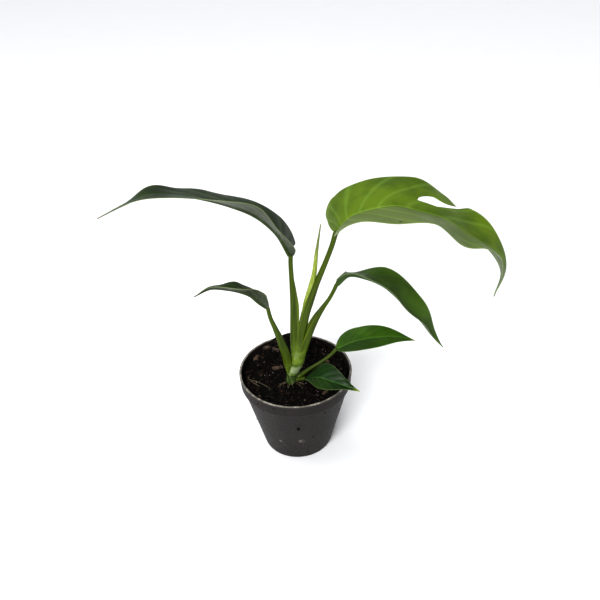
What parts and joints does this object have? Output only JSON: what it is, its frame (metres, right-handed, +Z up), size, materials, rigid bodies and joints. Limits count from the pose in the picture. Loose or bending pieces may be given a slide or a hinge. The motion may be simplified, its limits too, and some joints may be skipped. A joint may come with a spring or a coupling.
{
  "type": "potted rhaphidophora tetrasperma",
  "caption": "Young rhaphidophora tetrasperma in a small tapered nursery pot: glossy pointed leaves on long arching stalks, one of them split, and a rolled new leaf",
  "frame": {"origin": "centre of the pot's flat underside, on the surface that the pot stands on", "axes": "+Z up along the pot's axis; +X to the right of the picture, towards the split leaf; +Y away from the viewer"},
  "size_m": [0.1994, 0.06, 0.1535],
  "materials": {
    "pot_plastic": "thin grey-taupe nursery plastic, satin, scuffed at the rim",
    "peat": "moist near-black peat with crumbs and fibres",
    "root": "pale tan living root",
    "stem": "smooth pale green stem with ring scars",
    "stalk": "smooth yellow-green leaf stalk, satin",
    "new_leaf": "pale yellow-green rolled young leaf",
    "dark_leaf": "waxy dark green leaf with a greyish sheen",
    "fresh_leaf": "waxy bright yellow-green leaf",
    "young_leaf": "waxy mid-green leaf",
    "bark": "rough dry bark chip"
  },
  "bodies": {
    "root": {"pot": "pot_plastic", "soil": "peat", "roots": "root", "stem": "stem", "stalk_upper_left": "stalk", "stalk_upper_right": "stalk", "stalk_mid_right": "stalk", "stalk_lower_left": "stalk", "stalk_small_right": "stalk", "stalk_front_right": "stalk", "new_leaf": "new_leaf", "blade_upper_left": "dark_leaf", "blade_upper_right": "fresh_leaf", "blade_lower_left": "dark_leaf", "blade_mid_right": "dark_leaf", "blade_small_right": "young_leaf", "blade_front_right": "young_leaf", "bark_chip_1": "bark", "bark_chip_2": "bark", "bark_chip_3": "bark", "bark_chip_4": "bark", "bark_chip_5": "bark", "bark_chip_6": "bark"}
  },
  "joints": []
}
